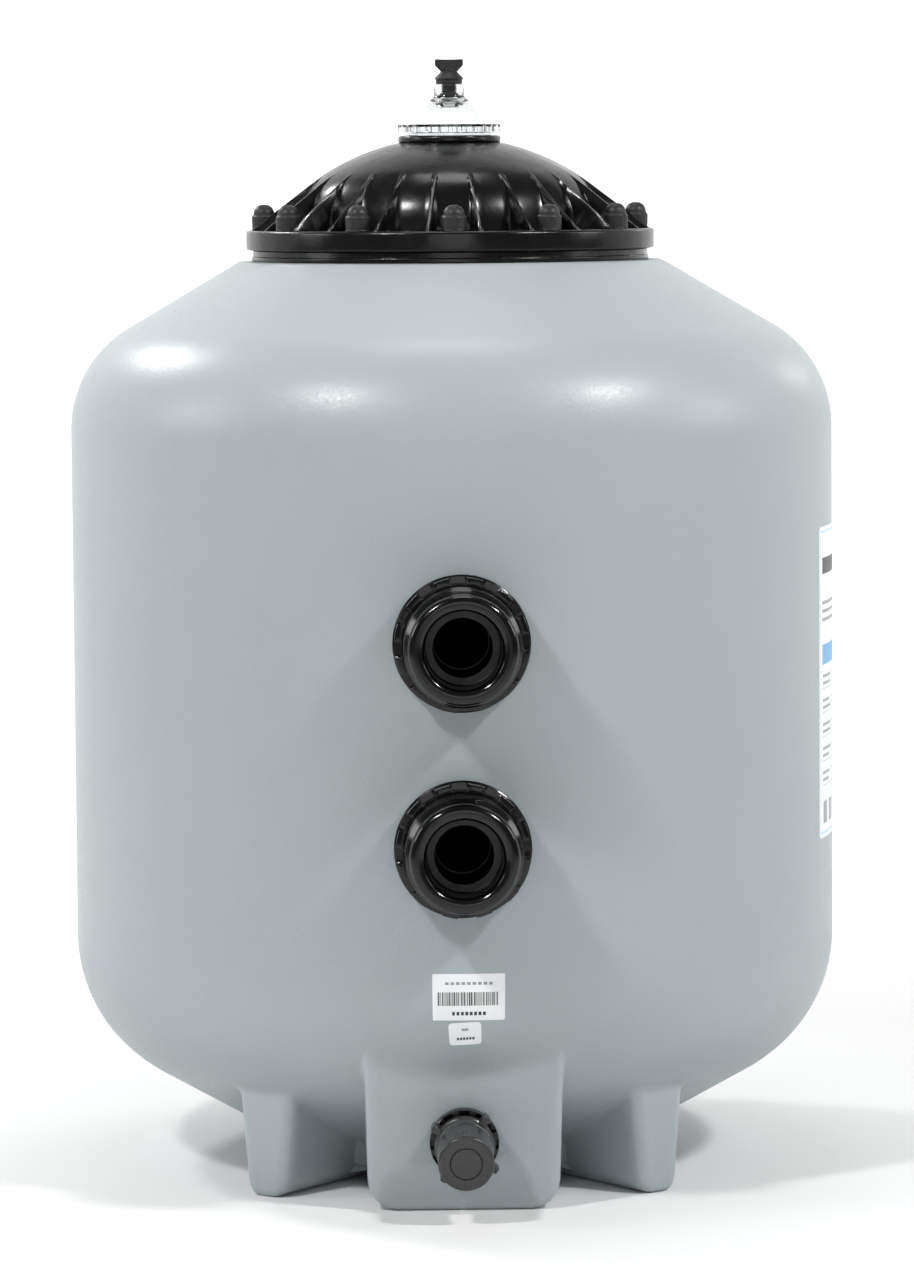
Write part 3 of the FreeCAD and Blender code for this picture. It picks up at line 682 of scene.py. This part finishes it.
def make_sight_dome():
    """Clear dome with a foot that the lock ring holds and a neck for the air bleed."""
    low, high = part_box("sight_dome")
    centre, outer, inner, neck, bore = 1.026, 0.038, 0.033, 0.01475, 0.010
    foot = centre + math.sqrt(outer ** 2 - neck ** 2)
    dome = [(outer * math.cos(a), centre + outer * math.sin(a))
            for a in np.linspace(0.0, math.asin((foot - centre) / outer) - 0.05, 20)]
    under = [(inner * math.cos(a), centre + inner * math.sin(a))
             for a in np.linspace(math.acos((neck + 0.0015) / inner), 0.0, 18)]
    rim = outline([(0.0395, centre), (0.042, centre, 0.0008), (0.042, low.z, 0.0006), (inner, low.z)])[1:]
    top = outline([(neck + 0.0006, foot + 0.001), (neck, high.z, 0.0008), (bore, high.z, 0.0006),
                   (bore, 1.050, 0.0005), (neck - 0.0015, 1.050, 0.0005), (neck - 0.001, 1.0545)])
    points = np.array(list(dome) + list(top) + list(under) + list(rim)[::-1])
    dome = facing_out(lathe("sight_glass", points, 96))
    return finished(smooth(dome, 40), "clear", "clear_plastic", "lid", "sight_dome")


def make_sight_lock():
    """Clear ring whose rim is notched between its grip ribs."""
    low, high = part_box("sight_dome_lock_ring")
    foot, rim_r, valley_r = 1.026, high.x, 0.0490
    points = outline([(0.0384, foot), (0.0426, foot), (0.0426, low.z), (0.047, low.z), (0.047, foot),
                      (rim_r, foot, 0.0008), (rim_r, high.z, 0.0010), (0.0440, high.z, 0.0006),
                      (0.0425, high.z - 0.0022, 0.0006), (0.0384, high.z - 0.0022, 0.0004)])
    ribs = 24
    pitch = 2 * math.pi / ribs

    def notched(section, angle):
        across = abs((angle + pitch / 2) % pitch - pitch / 2) * rim_r
        rise = min(max((across - 0.0014) / 0.0010, 0), 1)
        changed = section.copy()
        outer = changed[:, 0] > valley_r
        changed[outer, 0] -= (changed[outer, 0] - valley_r) * rise
        return changed

    offsets = np.array([-0.0024, -0.0014, 0, 0.0014, 0.0024]) / rim_r
    offsets = list(offsets) + [pitch * 0.33, pitch * 0.5, pitch * 0.67]
    angles = [k * pitch + offset for k in range(ribs) for offset in offsets]
    ring = facing_out(lathe("sight_lock", points, angles, notched))
    return finished(smooth(ring, 30), "clear", "clear_plastic", "lid", "sight_dome_lock_ring")


def make_bleed():
    """Wing knob over a skirted collar, and the ribbed stem below it."""
    low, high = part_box("bleed_knob")
    points = outline([(0, low.z), (0.01325, low.z, 0.0006), (0.01325, 1.0788, 0.0003),
                      (0.01475, 1.0792, 0.0004), (0.0142, 1.0802, 0.0004), (0.0092, 1.0853, 0.002),
                      (0.0074, 1.0878, 0.001), (0, 1.0878)])
    collar = lathe("bleed_wing_knob", points, 64)
    half = [(0.0072, 1.0835), (0.0078, 1.0862, 0.003), (0.0140, 1.0928, 0.002), (0.0140, high.z, 0.0012),
            (0.0060, high.z - 0.0004, 0.004)]
    points = outline(half + [(-x, *rest) for x, *rest in reversed(half)])
    wing = bevelled(facing_out(prism("wing", points, 0.0078)), 0.0009)
    knob = carved(facing_out(collar), wing, "UNION")
    nub = lathe("nub", outline([(0, 0), (0.004, 0), (0.004, 0.0075, 0.0012), (0, 0.0075)]), 32)
    carved(knob, aimed(facing_out(nub), (0, -0.001, 1.087), OUTWARD), "UNION")
    finished(smooth(knob, 35), "cap", "cap_black", "bleed_screw", "bleed_knob")

    low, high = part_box("bleed_stem")
    crests = []
    for z in np.arange(1.0645, 1.0725, 0.0026):
        crests += [(0.0066, z), (0.00785, z + 0.0006, 0.0003), (0.00785, z + 0.0014, 0.0003),
                   (0.0066, z + 0.0020)]
    points = outline([(0, low.z), (0.0035, low.z, 0.0008), (0.0063, 1.058)] + crests
                     + [(0.0066, high.z), (0, high.z)])
    stem = facing_out(lathe("bleed_spindle", points, 48))
    return finished(stem, "cap", "cap_black", "bleed_screw", "bleed_stem")


# ---------------------------------------------------------------------------------------------
# Pipe ports
# ---------------------------------------------------------------------------------------------
def port_points():
    back, nose = PORT_BACK, PORT_NOSE
    thread_low, thread_high, pitch, depth = 0.027, 0.064, 0.0048, 0.0015
    crests = []
    for s in np.arange(thread_low, thread_high, pitch):
        crests += [(PORT_THREAD_R - depth, s), (PORT_THREAD_R, s + 0.0016, 0.0006),
                   (PORT_THREAD_R, s + 0.0026, 0.0006), (PORT_THREAD_R - depth, s + 0.0042)]
    neck = crests[-1][1]
    return outline([(0.040, back - 0.034), (0.040, back - 0.010), (0.0719, back - 0.010, 0.002),
                    (0.0719, back, 0.001), (PORT_THREAD_R, back)] + crests
                   + [(PORT_THREAD_R - depth, neck + 0.0012, 0.0006),
                      (PORT_NOSE_R + 0.0005, neck + 0.0036, 0.001),
                      (PORT_NOSE_R, nose - 0.0150, 0.001), (PORT_NOSE_R + 0.0009, nose - 0.0140, 0.0008),
                      (PORT_NOSE_R + 0.0009, nose - 0.0004, 0.0072), (0.0368, nose - 0.0004, 0.0068),
                      (0.0364, nose - 0.0120, 0.001),
                      (PORT_MOUTH_R, nose - PORT_MOUTH_DEPTH, 0.0015),
                      (PORT_BORE_R, nose - PORT_MOUTH_DEPTH, 0.0012), (PORT_BORE_R, back - 0.008),
                      (PIPE_R, back - 0.008), (PIPE_R, back - 0.034)], math.radians(14))


def lock_ring_points():
    low, high = LOCK_RING_LOW, LOCK_RING_HIGH
    return outline([(PORT_THREAD_R, low), (LOCK_RING_R + 0.0015, low, 0.0006),
                    (LOCK_RING_R + 0.0015, low + 0.0045, 0.001),
                    (LOCK_RING_R, low + 0.0055, 0.0005), (LOCK_RING_R, low + 0.0065),
                    (LOCK_RING_R, high - 0.001, 0.0012), (LOCK_RING_R - 0.0042, high, 0.0010),
                    (PORT_THREAD_R, high, 0.0006)])


def make_lock_ring(name, height, node):
    """Castellated ring: twelve pockets in its rim open to the front."""
    notches, half, floor_r = 12, 0.0085, LOCK_RING_R - 0.0060
    pitch = 2 * math.pi / notches

    def pocketed(section, angle):
        across = abs((angle + pitch / 2) % pitch - pitch / 2) * LOCK_RING_R
        fall = min(max((half + 0.0006 - across) / 0.0012, 0), 1)
        changed = section.copy()
        deep = (changed[:, 0] > floor_r) & (changed[:, 1] > LOCK_RING_LOW + 0.006)
        changed[deep, 0] -= (changed[deep, 0] - floor_r) * fall
        return changed

    edge = np.array([-half - 0.0006, -half, -half + 0.0006, -half / 2, 0,
                     half / 2, half - 0.0006, half, half + 0.0006])
    offsets = list(edge / LOCK_RING_R) + [pitch * 0.36, pitch * 0.5, pitch * 0.64]
    angles = [k * pitch + offset for k in range(notches) for offset in offsets]
    ring = lathe(name, lock_ring_points(), angles, pocketed)
    turned(ring, 90.0 + 3.0)
    aimed(facing_out(ring), (0, -BODY_R, height), OUTWARD)
    return finished(smooth(ring, 34), "port", "port_black", "root", node)


def darken_bore(body, height):
    """Gives the faces inside the bore the rough, near-black bore material: painted shade for the deep bore.
    """
    for face in body.data.polygons:
        centre = face.center
        reach = math.hypot(centre.x, centre.z - height)
        depth = -centre.y - BODY_R
        face.material_index = int(reach < PORT_MOUTH_R + 0.0003 and depth < PORT_NOSE - 0.012)


def make_ports():
    """The threaded body of each port with its rounded lip, and the ring that clamps it."""
    for side, (low, high) in PORTS.items():
        height = (low.z + high.z) / 2
        body = facing_out(lathe(side + "_port_body", port_points(), 144))
        aimed(body, (0, -BODY_R, height), OUTWARD)
        # The faces inside the bore take the second material, painted shade.
        finished(smooth(body, 36), ["port", "bore"], "port_black", "root",
                 side + "_bulkhead", side + "_nose_o_ring")
        darken_bore(body, height)
        make_lock_ring(side + "_port_ring", height, side + "_lock_ring")


# ---------------------------------------------------------------------------------------------
# Drain
# ---------------------------------------------------------------------------------------------
def make_drain():
    """Webbed lock ring on the boss, and the hollow cap with four lugs round its skirt."""
    ring_r, spigot_r = 0.0329, 0.019
    points = outline([(spigot_r, 0.002), (ring_r, 0.002, 0.0005), (ring_r, 0.0125, 0.001),
                      (0.0318, 0.014, 0.0006), (0.0262, 0.014, 0.0005), (0.0256, 0.011, 0.0005),
                      (spigot_r, 0.011)])
    notches = 12
    pitch = 2 * math.pi / notches

    def webbed(section, angle):
        across = abs((angle + pitch / 2) % pitch - pitch / 2) * ring_r
        fall = min(max((0.0052 - across) / 0.0008, 0), 1)
        changed = section.copy()
        face = (changed[:, 0] > 0.0262) & (changed[:, 0] < 0.0322) & (changed[:, 1] > 0.0125)
        changed[face, 1] -= 0.0070 * fall
        return changed

    edge = np.array([-0.0052, -0.0044, -0.002, 0.002, 0.0044, 0.0052]) / ring_r
    offsets = list(edge) + [pitch * 0.4, pitch * 0.6]
    angles = [k * pitch + offset for k in range(notches) for offset in offsets]
    ring = aimed(facing_out(lathe("drain_ring", points, angles, webbed)), DRAIN_POINT, DRAIN_AXIS)
    finished(smooth(ring, 34), "drain_ring", "drain_grey", "root", "drain_lock_ring")

    end = 0.086
    points = outline([
        (0, 0.066), (0.0194, 0.066), (0.0194, 0.016), (0.0288, 0.016, 0.0008), (0.0290, 0.0255, 0.0008),
        (0.0278, 0.0265, 0.0005), (0.0278, 0.0390, 0.0004), (0.0268, 0.0400, 0.0008),
        (0.0266, end - 0.0002, 0.0030), (0.0156, end, 0.0004), (0.0152, end - 0.0014, 0.0002),
        (0.0148, end - 0.0014, 0.0002), (0.0144, end, 0.0004), (0, end)])
    cap = facing_out(lathe("drain_plug", points, 96))
    lug_points = outline([(-0.003, 0.018), (0.003, 0.018, 0.001), (0.003, 0.037, 0.001),
                          (-0.003, 0.037, 0.001)])
    for k in range(4):
        lug = prism("lug", lug_points, 0.0106)
        lug.data.transform(Matrix.Translation((0, -0.0322, 0)))
        carved(cap, turned(bevelled(facing_out(lug), 0.0008, 2), 55.0 + 90.0 * k), "UNION")
    aimed(cap, DRAIN_POINT, DRAIN_AXIS)
    return finished(smooth(cap, 36), "drain", "drain_grey", "drain_screw", "drain_cap")


# ---------------------------------------------------------------------------------------------
# Labels: printed marks are faces of the label's own grid
# ---------------------------------------------------------------------------------------------
def body_radius(z):
    """Radius of the straight side and the lower knuckle at a height."""
    centre_z = LOW_CORNER_Z + LOW_KNUCKLE_R * math.tan(math.radians(LOW_SLOPE))
    if z >= centre_z:
        return BODY_R
    drop = min(centre_z - z, LOW_KNUCKLE_R)
    return BODY_R - LOW_KNUCKLE_R + math.sqrt(LOW_KNUCKLE_R ** 2 - drop ** 2)


def make_label(name, node, width, low, high, azimuth, marks, inks, offset=0.0, tilt=0.0, corner=0.001):
    """marks are (left, right, bottom, top, ink) from the label's lower left corner."""
    height = high - low
    step = 0.004
    xs = {0.0, width, corner, width - corner}
    zs = {0.0, height, corner, height - corner}
    for left, right, bottom, top, _ in marks:
        xs |= {left, right}
        zs |= {bottom, top}

    def filled(values):
        values = sorted(values)
        result = []
        for a, b in zip(values[:-1], values[1:]):
            if b - a < 1e-6:
                continue
            count = max(1, math.ceil((b - a) / step))
            result += [a + (b - a) * k / count for k in range(count)]
        return result + [values[-1]]

    xs, zs = filled(xs), filled(zs)
    lean = math.radians(tilt)
    vertices, faces, kinds = [], [], []
    thick = 0.0003
    for layer in (0.0, thick):
        for z in zs:
            for x in xs:
                u, v = x - width / 2, z - height / 2
                u, v = pull_corner(u, v, width, height, corner)
                level = low + height / 2 + u * math.sin(lean) + v * math.cos(lean)
                u = u * math.cos(lean) - v * math.sin(lean) + offset
                r = body_radius(level) + 0.00003 + layer
                a = math.radians(azimuth) + u / BODY_R
                vertices.append((r * math.sin(a), -r * math.cos(a), level))
    columns, rows = len(xs), len(zs)
    lift = columns * rows
    for j in range(rows - 1):
        for i in range(columns - 1):
            a = j * columns + i
            middle = ((xs[i] + xs[i + 1]) / 2, (zs[j] + zs[j + 1]) / 2)
            kind = 0
            for left, right, bottom, top, ink in marks:
                if left < middle[0] < right and bottom < middle[1] < top:
                    kind = inks.index(ink)
            faces.append([lift + a, lift + a + 1, lift + a + columns + 1, lift + a + columns])
            kinds.append(kind)
            faces.append([a, a + columns, a + columns + 1, a + 1])
            kinds.append(0)
    border = list(range(columns)) + [k * columns + columns - 1 for k in range(1, rows)]
    border += [(rows - 1) * columns + k for k in range(columns - 2, -1, -1)]
    border += [k * columns for k in range(rows - 2, 0, -1)]
    for a, b in zip(border, border[1:] + border[:1]):
        faces.append([a, b, b + lift, a + lift])
        kinds.append(0)
    label = mesh_object(name, vertices, faces)
    settle_layers(label, lift, thick)
    label.data.polygons.foreach_set("material_index", kinds)
    smooth(label, 30)
    return finished(label, inks, "label_white", "root", node)


def settle_layers(label, lift, thick):
    """Lays a label's two layers of points on the tank's real surface."""
    base, skin = 0.00005, np.zeros(2 * lift)
    skin[:lift], skin[lift:] = base, base + thick
    settled(label, lambda p: tank_distance(p) - skin)


def pull_corner(u, v, width, height, radius):
    """Rounds the corner cells of a label's grid."""
    du, dv = abs(u) - (width / 2 - radius), abs(v) - (height / 2 - radius)
    if du <= 0 or dv <= 0:
        return u, v
    reach, length = max(du, dv), math.hypot(du, dv)
    return (math.copysign(width / 2 - radius + du * reach / length, u),
            math.copysign(height / 2 - radius + dv * reach / length, v))


def bar_marks(left, right, bottom, top, seed, ink="ink"):
    """Plain upright bars of uneven width."""
    draw = np.random.default_rng(seed)
    marks, x = [], left
    while x < right - 0.0012:
        bar = draw.choice([0.0005, 0.0009, 0.0013])
        marks.append((x, min(x + bar, right), bottom, top, ink))
        x += bar + draw.choice([0.0005, 0.0009])
    return marks


def line_marks(left, right, bottom, top, rows, seed, ink="grey_ink", fill=0.4):
    """Rows of short rules that stand for lines of text."""
    draw = np.random.default_rng(seed)
    pitch = (top - bottom) / rows
    return [(left, left + (right - left) * draw.uniform(0.6, 1.0), bottom + k * pitch,
             bottom + (k + fill) * pitch, ink) for k in range(rows)]


def make_labels():
    marks = bar_marks(0.005, 0.064, 0.0145, 0.0275, 3)
    marks += [(0.0185 + 0.0042 * k, 0.0212 + 0.0042 * k, 0.0050, 0.0085, "ink") for k in range(8)]
    marks += [(0.012 + 0.0052 * k, 0.0155 + 0.0052 * k, 0.0345, 0.0372, "grey_ink") for k in range(9)]
    make_label("front_label", "serial_label", *SERIAL_LABEL, 0.0, marks, ["paper", "ink", "grey_ink"],
               offset=0.0045)

    marks = [(0.0125, 0.0190, 0.0140, 0.0165, "grey_ink")]
    marks += [(0.0075 + 0.0030 * k, 0.0096 + 0.0030 * k, 0.0050, 0.0075, "ink") for k in range(6)]
    make_label("front_tag", "batch_label", *BATCH_LABEL, 0.0, marks, ["paper", "ink", "grey_ink"],
               offset=0.001, tilt=3.0, corner=0.003)

    side_low, side_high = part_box("info_label")[0].z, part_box("info_label")[1].z
    width, height = 0.210, side_high - side_low
    rim, line = 0.004, 0.0022
    right, top = width - rim, height - rim
    marks = [(rim, right, rim, rim + line, "pale_ink"), (rim, right, top - line, top, "pale_ink"),
             (rim, rim + line, rim, top, "pale_ink"), (right - line, right, rim, top, "pale_ink")]
    marks += line_marks(0.012, 0.196, 0.215, 0.240, 3, 5)
    marks += [(0.012, 0.198, 0.172, 0.192, "blue_ink")]
    for k in range(5):
        foot = 0.052 + 0.024 * k
        marks += [(0.012, 0.198, foot, foot + 0.0005, "grey_ink")]
        marks += line_marks(0.014, 0.060, foot + 0.004, foot + 0.018, 2, 11 + k)
        marks += line_marks(0.075, 0.190, foot + 0.004, foot + 0.018, 2, 31 + k)
    marks += [(0.016 + 0.030 * k, 0.034 + 0.030 * k, 0.014, 0.036, "grey_ink") for k in range(3)]
    marks += [(0.012, 0.090, 0.262, 0.278, "ink")]
    make_label("side_label", "info_label", width, side_low, side_high, 85.8, marks,
               ["paper", "ink", "grey_ink", "blue_ink", "pale_ink"], corner=0.006)


# ---------------------------------------------------------------------------------------------
# Nodes that keep their own shape
# ---------------------------------------------------------------------------------------------
def finish_nodes():
    """Gives the CAD nodes that stay visible their materials."""
    kept = {"steel": ("lid_studs", "lid_washers", "lid_nuts"),
            "rubber": ("lid_o_ring", "sight_dome_gasket", "bleed_o_ring", "drain_gasket",
                       "drain_inner_gasket", "drain_cap_seal", "upper_outer_gasket", "upper_inner_gasket",
                       "upper_nose_o_ring", "lower_outer_gasket", "lower_inner_gasket",
                       "lower_nose_o_ring"),
            # the pipes seen through the port bores get painted shade
            "inner_dark": ("inlet_pipe", "inlet_elbow", "outlet_pipe", "outlet_elbow"),
            "inner": ("inlet_riser", "diffuser", "outlet_downpipe", "lateral_hub", "laterals",
                      "drain_screen"),
            "drain": ("drain_spigot",)}
    for material, names in kept.items():
        for name in names:
            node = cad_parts[name]
            node.data.materials.clear()
            node.data.materials.append(MATERIALS[material])


# ---------------------------------------------------------------------------------------------
# Floor, light and camera
# ---------------------------------------------------------------------------------------------
def make_stage():
    """A floor that curves up into a wall. From behind, the wall is see-through."""
    points = outline([(-40.0, 5.0), (-40.0, 0.0), (3.5, 0.0, 1.2), (3.5, 6.0)], math.radians(6))[1:]
    vertices = [(x, y, z) for x in (-30.0, 30.0) for y, z in points]
    count = len(points)
    faces = [[i, i + count, i + 1 + count, i + 1] for i in range(count - 1)]
    floor = mesh_object("floor", vertices, faces)
    floor.data.shade_smooth()
    f = Finish("floor_paint", (0.86, 0.86, 0.86, 1.0), 0.9)
    f.bump(f.noise(30.0), 0.0002)
    f.shader.inputs["Emission Color"].default_value = (1.0, 1.0, 1.0, 1.0)
    glow = f.nodes.new("ShaderNodeSeparateXYZ")
    f.links.new(f.place, glow.inputs["Vector"])
    f.links.new(f.span(glow.outputs["Y"], 0.0, 0.50, 0.8, 3.0), f.shader.inputs["Emission Strength"])
    side, clear = f.nodes.new("ShaderNodeNewGeometry"), f.nodes.new("ShaderNodeBsdfTransparent")
    mix = f.nodes.new("ShaderNodeMixShader")
    f.links.new(side.outputs["Backfacing"], mix.inputs["Fac"])
    f.links.new(f.shader.outputs["BSDF"], mix.inputs[1])
    f.links.new(clear.outputs["BSDF"], mix.inputs[2])
    f.links.new(mix.outputs["Shader"], f.nodes["Material Output"].inputs["Surface"])
    floor.data.materials.append(f.material)


def make_light(name, place, target, size, power):
    """A square white area light aimed at a point."""
    data = bpy.data.lights.new(name, "AREA")
    data.shape, data.size, data.energy = "SQUARE", size, power
    light = bpy.data.objects.new(name, data)
    light.location = place
    light.rotation_mode = "QUATERNION"
    light.rotation_quaternion = (Vector(target) - Vector(place)).to_track_quat("-Z", "Y")
    light.visible_camera = False
    bpy.context.scene.collection.objects.link(light)


def make_lights():
    world = bpy.data.worlds.new("studio")
    world.use_nodes = True
    sky = world.node_tree.nodes["Background"]
    sky.inputs["Color"].default_value = (1.0, 1.0, 1.0, 1.0)
    sky.inputs["Strength"].default_value = 0.16
    bpy.context.scene.world = world
    bpy.context.scene.view_settings.view_transform = "Standard"
    middle = Vector((0, 0, 0.70))
    for name, way, distance, size, power in (
            ("key_left", (-0.50, -0.60, 0.62), 3.4, 0.32, 54),
            ("key_right", (0.62, -0.50, 0.62), 3.4, 0.32, 60),
            ("side_left", (-0.95, -0.15, 0.30), 3.0, 0.9, 17),
            ("side_right", (0.95, -0.15, 0.30), 3.0, 0.9, 14),
            ("back_left", (-0.66, 0.50, 0.60), 3.0, 0.4, 30),
            ("back_right", (0.70, 0.66, 0.30), 3.0, 0.4, 3),
            ("front_fill", (0.0, -0.99, 0.12), 5.0, 2.0, 15),
            ("top", (0.0, 0.1, 1.0), 3.2, 1.2, 20)):
        make_light(name, middle + Vector(way).normalized() * distance, middle, size, power)


def make_camera():
    """Looks at the front from the CAMERA_ values above."""
    data = bpy.data.cameras.new("camera")
    data.lens, data.sensor_width = CAMERA_LENS, 36.0
    data.dof.use_dof = False
    data.clip_start, data.clip_end = 0.1, 100
    camera = bpy.data.objects.new("camera", data)
    azimuth = math.radians(CAMERA_AZIMUTH)
    place = Vector((math.sin(azimuth) * CAMERA_DISTANCE, -math.cos(azimuth) * CAMERA_DISTANCE, CAMERA_HEIGHT))
    turn = (Matrix.Rotation(azimuth + math.radians(CAMERA_YAW), 4, "Z")
            @ Matrix.Rotation(math.radians(90 + CAMERA_PITCH), 4, "X")
            @ Matrix.Rotation(math.radians(CAMERA_ROLL), 4, "Z"))
    camera.matrix_world = Matrix.Translation(place) @ turn
    bpy.context.scene.collection.objects.link(camera)
    bpy.context.scene.camera = camera


make_camera()
make_stage()
make_lights()
make_tank()
make_lid()
make_neck_ring()
make_nut_caps()
make_sight_seat()
make_sight_dome()
make_sight_lock()
make_bleed()
make_ports()
make_drain()
make_labels()
finish_nodes()
